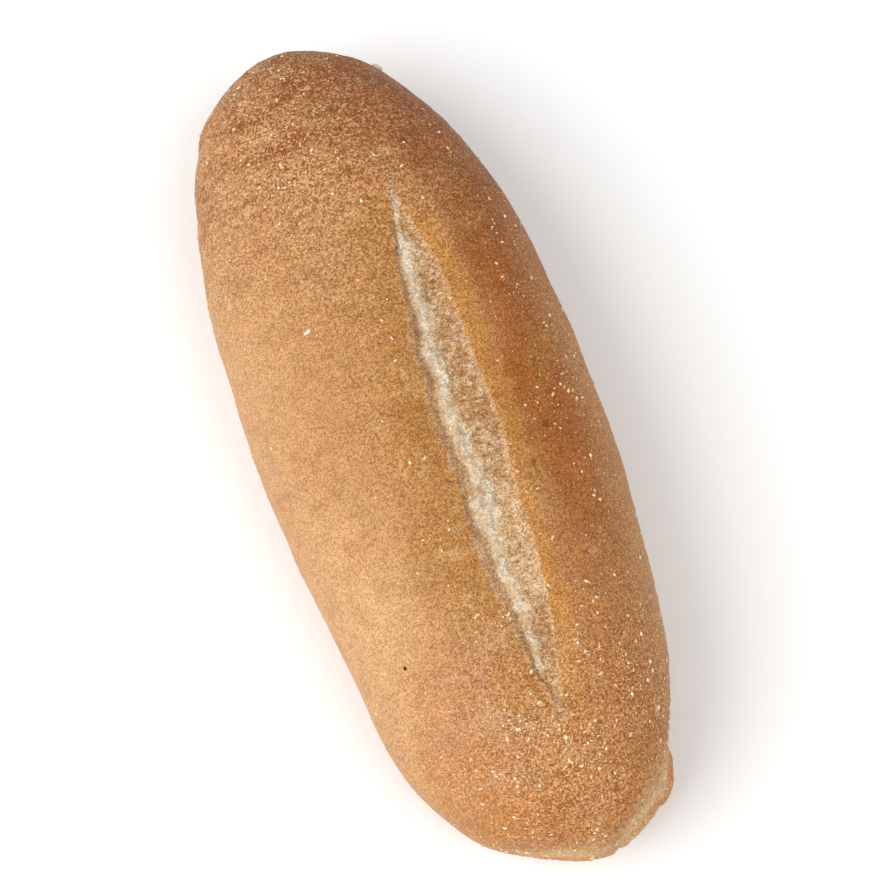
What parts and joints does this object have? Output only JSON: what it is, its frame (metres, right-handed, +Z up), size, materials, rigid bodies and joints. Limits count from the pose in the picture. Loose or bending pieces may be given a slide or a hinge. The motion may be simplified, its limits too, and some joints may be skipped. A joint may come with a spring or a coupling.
{
  "type": "bread roll",
  "caption": "Long soft bread roll with a golden crust, one lengthwise slash, a split at one end and a dusting of cornmeal.",
  "frame": {"origin": "on the surface the roll lies on, under the middle of its box", "axes": "+X along the roll towards the end whose side has split, +Y across it, +Z up through the slashed crown"},
  "size_m": [0.2102, 0.0826, 0.0569],
  "materials": {
    "crust": "matte golden-brown baked crust with fine speckle, pale torn crumb in the slash and the split"
  },
  "bodies": {
    "root": {"roll": "crust"}
  },
  "joints": []
}
